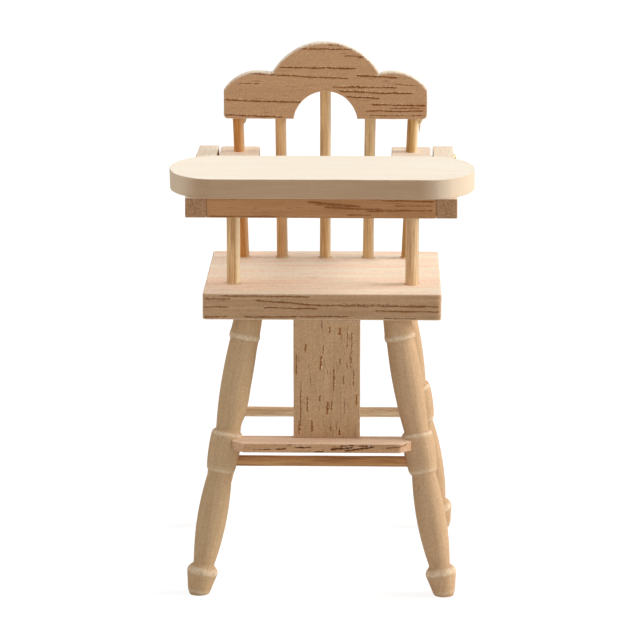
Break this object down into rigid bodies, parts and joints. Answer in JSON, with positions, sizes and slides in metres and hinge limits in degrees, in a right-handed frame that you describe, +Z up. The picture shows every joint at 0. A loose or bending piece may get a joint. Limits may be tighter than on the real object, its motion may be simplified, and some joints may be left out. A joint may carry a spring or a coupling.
{
  "type": "dollhouse high chair",
  "caption": "Miniature bare-wood high chair with turned legs, a scalloped spindle back, armrests, a footrest and a meal tray that swings up over the back on brass nails.",
  "frame": {"origin": "on the floor under the middle of the chair's whole length and width", "axes": "+Z up from the floor, -Y the way the sitter faces, +X to the right as seen from the front; the chair is taller than it is wide and wider than it is deep"},
  "size_m": [0.0552, 0.0505, 0.0973],
  "materials": {
    "basswood": "bare sanded wood with fine dark grain",
    "turned_wood": "bare lathe-turned wood",
    "dowel_wood": "bare golden dowel with lengthwise streaks",
    "tray_wood": "bare pale cream wood",
    "apron_wood": "bare orange-brown wood with dark streaks",
    "brass": "bright wire nail"
  },
  "bodies": {
    "chair": {"seat": "basswood", "front_leg_left": "turned_wood", "front_leg_right": "turned_wood", "rear_leg_left": "turned_wood", "rear_leg_right": "turned_wood", "front_stretcher": "dowel_wood", "rear_stretcher": "dowel_wood", "side_stretcher_left": "dowel_wood", "side_stretcher_right": "dowel_wood", "footrest": "basswood", "leg_panel": "basswood", "front_post_left": "dowel_wood", "front_post_right": "dowel_wood", "spindle_outer_left": "dowel_wood", "spindle_inner_left": "dowel_wood", "spindle_centre": "dowel_wood", "spindle_inner_right": "dowel_wood", "spindle_outer_right": "dowel_wood", "crest_rail": "basswood", "armrest_left": "basswood", "armrest_right": "basswood", "hinge_nail_left": "brass", "hinge_nail_right": "brass"},
    "tray": {"tray_top": "tray_wood", "tray_apron": "apron_wood", "tray_bar_left": "basswood", "tray_bar_right": "basswood"}
  },
  "joints": [
    {"name": "tray_hinge", "type": "hinge", "parent": "chair", "child": "tray", "pos_m": [0, 0.0187, 0.07462], "axis": [-1, 0, 0], "range_deg": [0, 258]}
  ]
}
